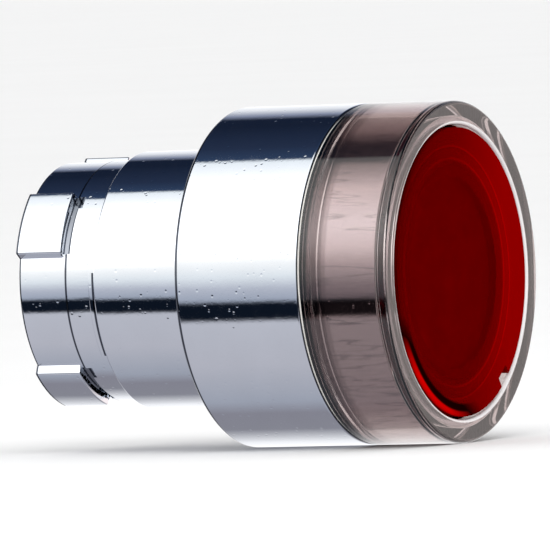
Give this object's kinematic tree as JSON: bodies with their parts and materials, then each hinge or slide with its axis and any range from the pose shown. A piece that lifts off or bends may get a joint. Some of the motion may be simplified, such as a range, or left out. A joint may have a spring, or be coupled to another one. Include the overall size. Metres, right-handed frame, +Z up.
{
  "type": "illuminated push button head",
  "caption": "Chromed push-button head for a 22 mm panel hole: pressed red lens in a clear guard ring, hollow sprung plunger, bayonet tube behind the panel.",
  "frame": {"origin": "on the button's axis, at the plane where the bezel seats on the panel's front", "axes": "+Y runs along the axis into the panel, -Y towards the user; +Z up, +X to the user's right"},
  "size_m": [0.029, 0.0371, 0.029],
  "materials": {
    "chrome": "polished chrome plate on cast zinc",
    "clear_smoke": "clear moulded polycarbonate with a slight brown tint",
    "pale_seal": "pale silicone rubber",
    "black_rubber": "matt nitrile rubber",
    "zinc_steel": "zinc plated, satin",
    "spring_steel": "drawn stainless wire",
    "natural_acetal": "natural acetal",
    "black_plastic": "moulded, fine grain",
    "white_plastic": "white, smooth",
    "milk_plastic": "milky translucent",
    "legend_film": "blank grey translucent film",
    "red_lens": "transparent red polycarbonate, gloss"
  },
  "bodies": {
    "housing": {"barrel": "chrome", "bezel": "chrome", "panel_gasket": "black_rubber", "guard_ring": "clear_smoke", "guard_ring_seal": "pale_seal", "boot_seal": "black_rubber", "boot_clamp_ring": "zinc_steel", "guide_bush": "natural_acetal", "bumper_washer": "black_rubber", "return_spring": "spring_steel"},
    "button": {"plunger": "black_plastic", "spring_washer": "zinc_steel", "lens_holder": "black_plastic", "lens_seal": "black_rubber", "reflector": "white_plastic", "diffuser": "milk_plastic", "legend_disc": "legend_film", "lens_cap": "red_lens", "actuator_ring": "black_plastic", "actuator_clip": "spring_steel"}
  },
  "joints": [
    {"name": "press", "type": "slide", "parent": "housing", "child": "button", "axis": [0, 1, 0], "range_m": [0, 0.004], "stiffness_N_per_m": 500, "springref_m": -0.004, "deforming": ["return_spring", "boot_seal"]}
  ]
}
